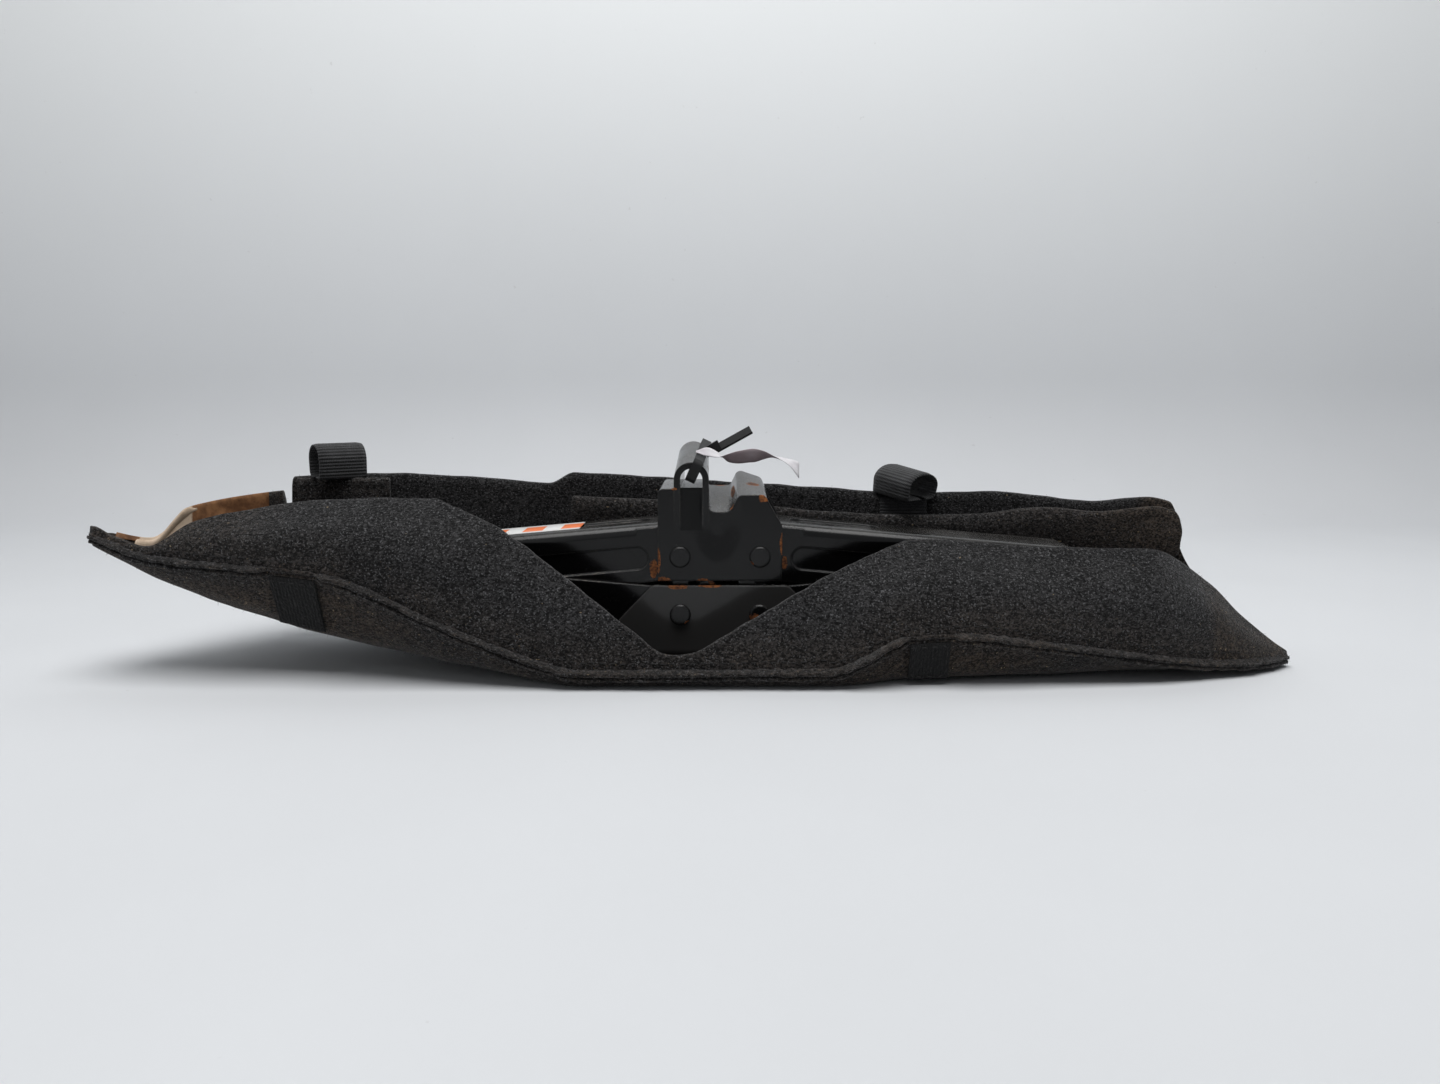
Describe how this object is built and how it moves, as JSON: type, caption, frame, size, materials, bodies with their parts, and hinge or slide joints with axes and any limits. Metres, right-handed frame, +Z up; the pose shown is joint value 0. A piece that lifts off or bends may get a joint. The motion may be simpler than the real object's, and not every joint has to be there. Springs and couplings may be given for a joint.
{
  "type": "scissor car jack in a felt bag",
  "caption": "Scissor car jack with geared pressed-steel arms, a grooved saddle and a lead screw, folded down in an open felt bag with webbing loops.",
  "frame": {"origin": "middle of the jack's foot, on the surface that the felt bag's flat underside stands on", "axes": "+X along the lead screw towards the crank eye, +Y from the bag's notched front to its back wall, +Z up"},
  "size_m": [0.563, 0.1262, 0.1147],
  "materials": {
    "black_paint": "satin black paint, rusty where worn",
    "rivet_steel": "painted rivet steel",
    "screw_steel": "oiled dark steel",
    "bearing_steel": "bright bearing steel",
    "tie_nylon": "black nylon",
    "felt": "charcoal needle felt",
    "webbing": "ribbed black webbing",
    "paper": "blank white and mauve paper",
    "hook_tape": "worn black hook tape"
  },
  "bodies": {
    "bag": {"bag_body": "felt", "bag_front_panel": "felt", "bag_flap_roll": "felt", "strap_patch": "felt", "strap_loop_left": "webbing", "strap_loop_right": "webbing", "hook_patch_left": "hook_tape", "hook_patch_right": "hook_tape"},
    "base": {"base": "black_paint", "base_rivets": "rivet_steel"},
    "lower_arm_left": {"lower_arm_left": "black_paint"},
    "lower_arm_right": {"lower_arm_right": "black_paint"},
    "nut_trunnion": {"nut_trunnion": "screw_steel", "nut_trunnion_washers": "rivet_steel"},
    "drive_trunnion": {"drive_trunnion": "screw_steel", "drive_trunnion_washers": "rivet_steel", "thrust_race_inner": "bearing_steel"},
    "upper_arm_left": {"upper_arm_left": "black_paint"},
    "upper_arm_right": {"upper_arm_right": "black_paint"},
    "saddle": {"saddle": "black_paint", "saddle_rivets": "rivet_steel", "saddle_spacers": "rivet_steel", "cable_tie": "tie_nylon", "paper_slip": "paper"},
    "screw": {"lead_screw": "screw_steel", "crank_eye": "screw_steel", "thrust_balls": "bearing_steel", "thrust_race_outer": "bearing_steel", "screw_retainer": "screw_steel", "screw_stop": "screw_steel"}
  },
  "joints": [
    {"name": "take_out_of_bag", "type": "slide", "parent": "bag", "child": "base", "axis": [0, 0, 1], "range_m": [0, 0.15]},
    {"name": "lift", "type": "hinge", "parent": "base", "child": "lower_arm_left", "pos_m": [-0.019, 0, 0.026], "axis": [0, 1, 0], "range_deg": [0, 52]},
    {"name": "lower_right_pivot", "type": "hinge", "parent": "base", "child": "lower_arm_right", "pos_m": [0.019, 0, 0.026], "axis": [0, 1, 0], "range_deg": [-52, 0]},
    {"name": "nut_trunnion_pivot", "type": "hinge", "parent": "lower_arm_left", "child": "nut_trunnion", "pos_m": [-0.17839, 0, 0.03994], "axis": [0, 1, 0], "range_deg": [-52, 0]},
    {"name": "drive_trunnion_pivot", "type": "hinge", "parent": "lower_arm_right", "child": "drive_trunnion", "pos_m": [0.17839, 0, 0.03994], "axis": [0, 1, 0], "range_deg": [0, 52]},
    {"name": "upper_left_pivot", "type": "hinge", "parent": "lower_arm_left", "child": "upper_arm_left", "pos_m": [-0.17839, 0, 0.03994], "axis": [0, 1, 0], "range_deg": [-104, 0]},
    {"name": "upper_right_pivot", "type": "hinge", "parent": "lower_arm_right", "child": "upper_arm_right", "pos_m": [0.17839, 0, 0.03994], "axis": [0, 1, 0], "range_deg": [0, 104]},
    {"name": "saddle_pivot", "type": "hinge", "parent": "upper_arm_left", "child": "saddle", "pos_m": [-0.019, 0, 0.05389], "axis": [0, 1, 0], "range_deg": [0, 52]},
    {"name": "screw_spin", "type": "hinge", "parent": "drive_trunnion", "child": "screw", "pos_m": [0.17839, 0, 0.03994], "axis": [1, 0, 0], "continuous": true}
  ],
  "couplings": [
    {"joint": "lower_right_pivot", "follows": "lift", "ratio": -1},
    {"joint": "nut_trunnion_pivot", "follows": "lift", "ratio": -1},
    {"joint": "drive_trunnion_pivot", "follows": "lift", "ratio": 1},
    {"joint": "upper_left_pivot", "follows": "lift", "ratio": -2},
    {"joint": "upper_right_pivot", "follows": "lift", "ratio": 2},
    {"joint": "saddle_pivot", "follows": "lift", "ratio": 1}
  ]
}
